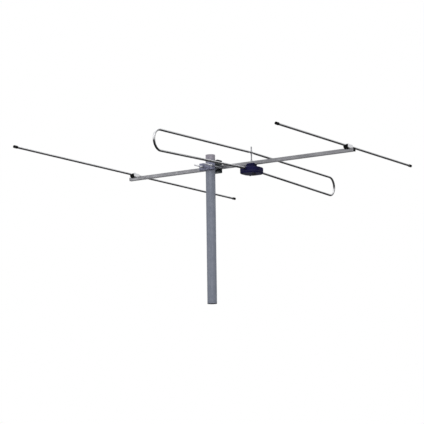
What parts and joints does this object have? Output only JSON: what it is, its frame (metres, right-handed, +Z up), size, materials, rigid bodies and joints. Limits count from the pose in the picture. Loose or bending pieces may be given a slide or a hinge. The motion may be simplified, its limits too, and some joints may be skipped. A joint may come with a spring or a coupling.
{
  "type": "fm beam antenna on a mast",
  "caption": "FM radio beam antenna: reflector, folded dipole with feed box and director rod on a square boom, held to a round mast stub by a toothed clamp.",
  "frame": {"origin": "centre of the mast's foot", "axes": "+Z up the mast, +X along the boom from reflector to director, +Y along the rods"},
  "size_m": [1.166, 1.68, 0.6765],
  "materials": {
    "mast_steel": "dull galvanised tube",
    "boom_metal": "mill finish square tube",
    "rod_metal": "drawn tube, satin",
    "black_plastic": "moulded, fine grain",
    "box_plastic": "moulded, slight sheen",
    "jaw_zinc": "zinc plated pressed sheet",
    "strap_zinc": "bright zinc plated sheet",
    "bracket_black": "black coated pressed sheet",
    "fastener_zinc": "zinc plated",
    "screw_black": "blackened steel",
    "brass": "bright",
    "board": "laminate",
    "ferrite": "sintered",
    "black_rubber": "moulded"
  },
  "bodies": {
    "mast": {"mast_tube": "mast_steel"},
    "head": {"balun_board": "board", "balun_core": "ferrite", "boom_plug_front": "black_plastic", "boom_plug_rear": "black_plastic", "boom_screw_nuts": "fastener_zinc", "boom_screws": "fastener_zinc", "boom_tube": "boom_metal", "box_cover": "box_plastic", "box_gasket": "black_rubber", "box_housing": "box_plastic", "cable_grommet": "black_rubber", "clamp_bolts": "fastener_zinc", "clamp_bracket": "bracket_black", "clamp_jaw": "jaw_zinc", "clamp_nuts": "fastener_zinc", "clamp_washers": "fastener_zinc", "cover_screws": "screw_black", "dipole_loop": "rod_metal", "dipole_stud": "fastener_zinc", "director_bolt": "fastener_zinc", "director_cap_far": "black_plastic", "director_cap_near": "black_plastic", "director_cradle": "black_plastic", "director_nut": "fastener_zinc", "director_rod": "rod_metal", "director_strap": "strap_zinc", "director_washer": "fastener_zinc", "reflector_bolt": "fastener_zinc", "reflector_cap_far": "black_plastic", "reflector_cap_near": "black_plastic", "reflector_cradle": "black_plastic", "reflector_nut": "fastener_zinc", "reflector_rod": "rod_metal", "reflector_strap": "strap_zinc", "reflector_washer": "fastener_zinc", "stud_nuts": "fastener_zinc", "terminal_nuts": "brass", "terminal_screws": "brass"}
  },
  "joints": [
    {"name": "mast_aim", "type": "hinge", "parent": "mast", "child": "head", "pos_m": [0, 0, 0.603], "axis": [0, 0, 1], "continuous": true}
  ]
}
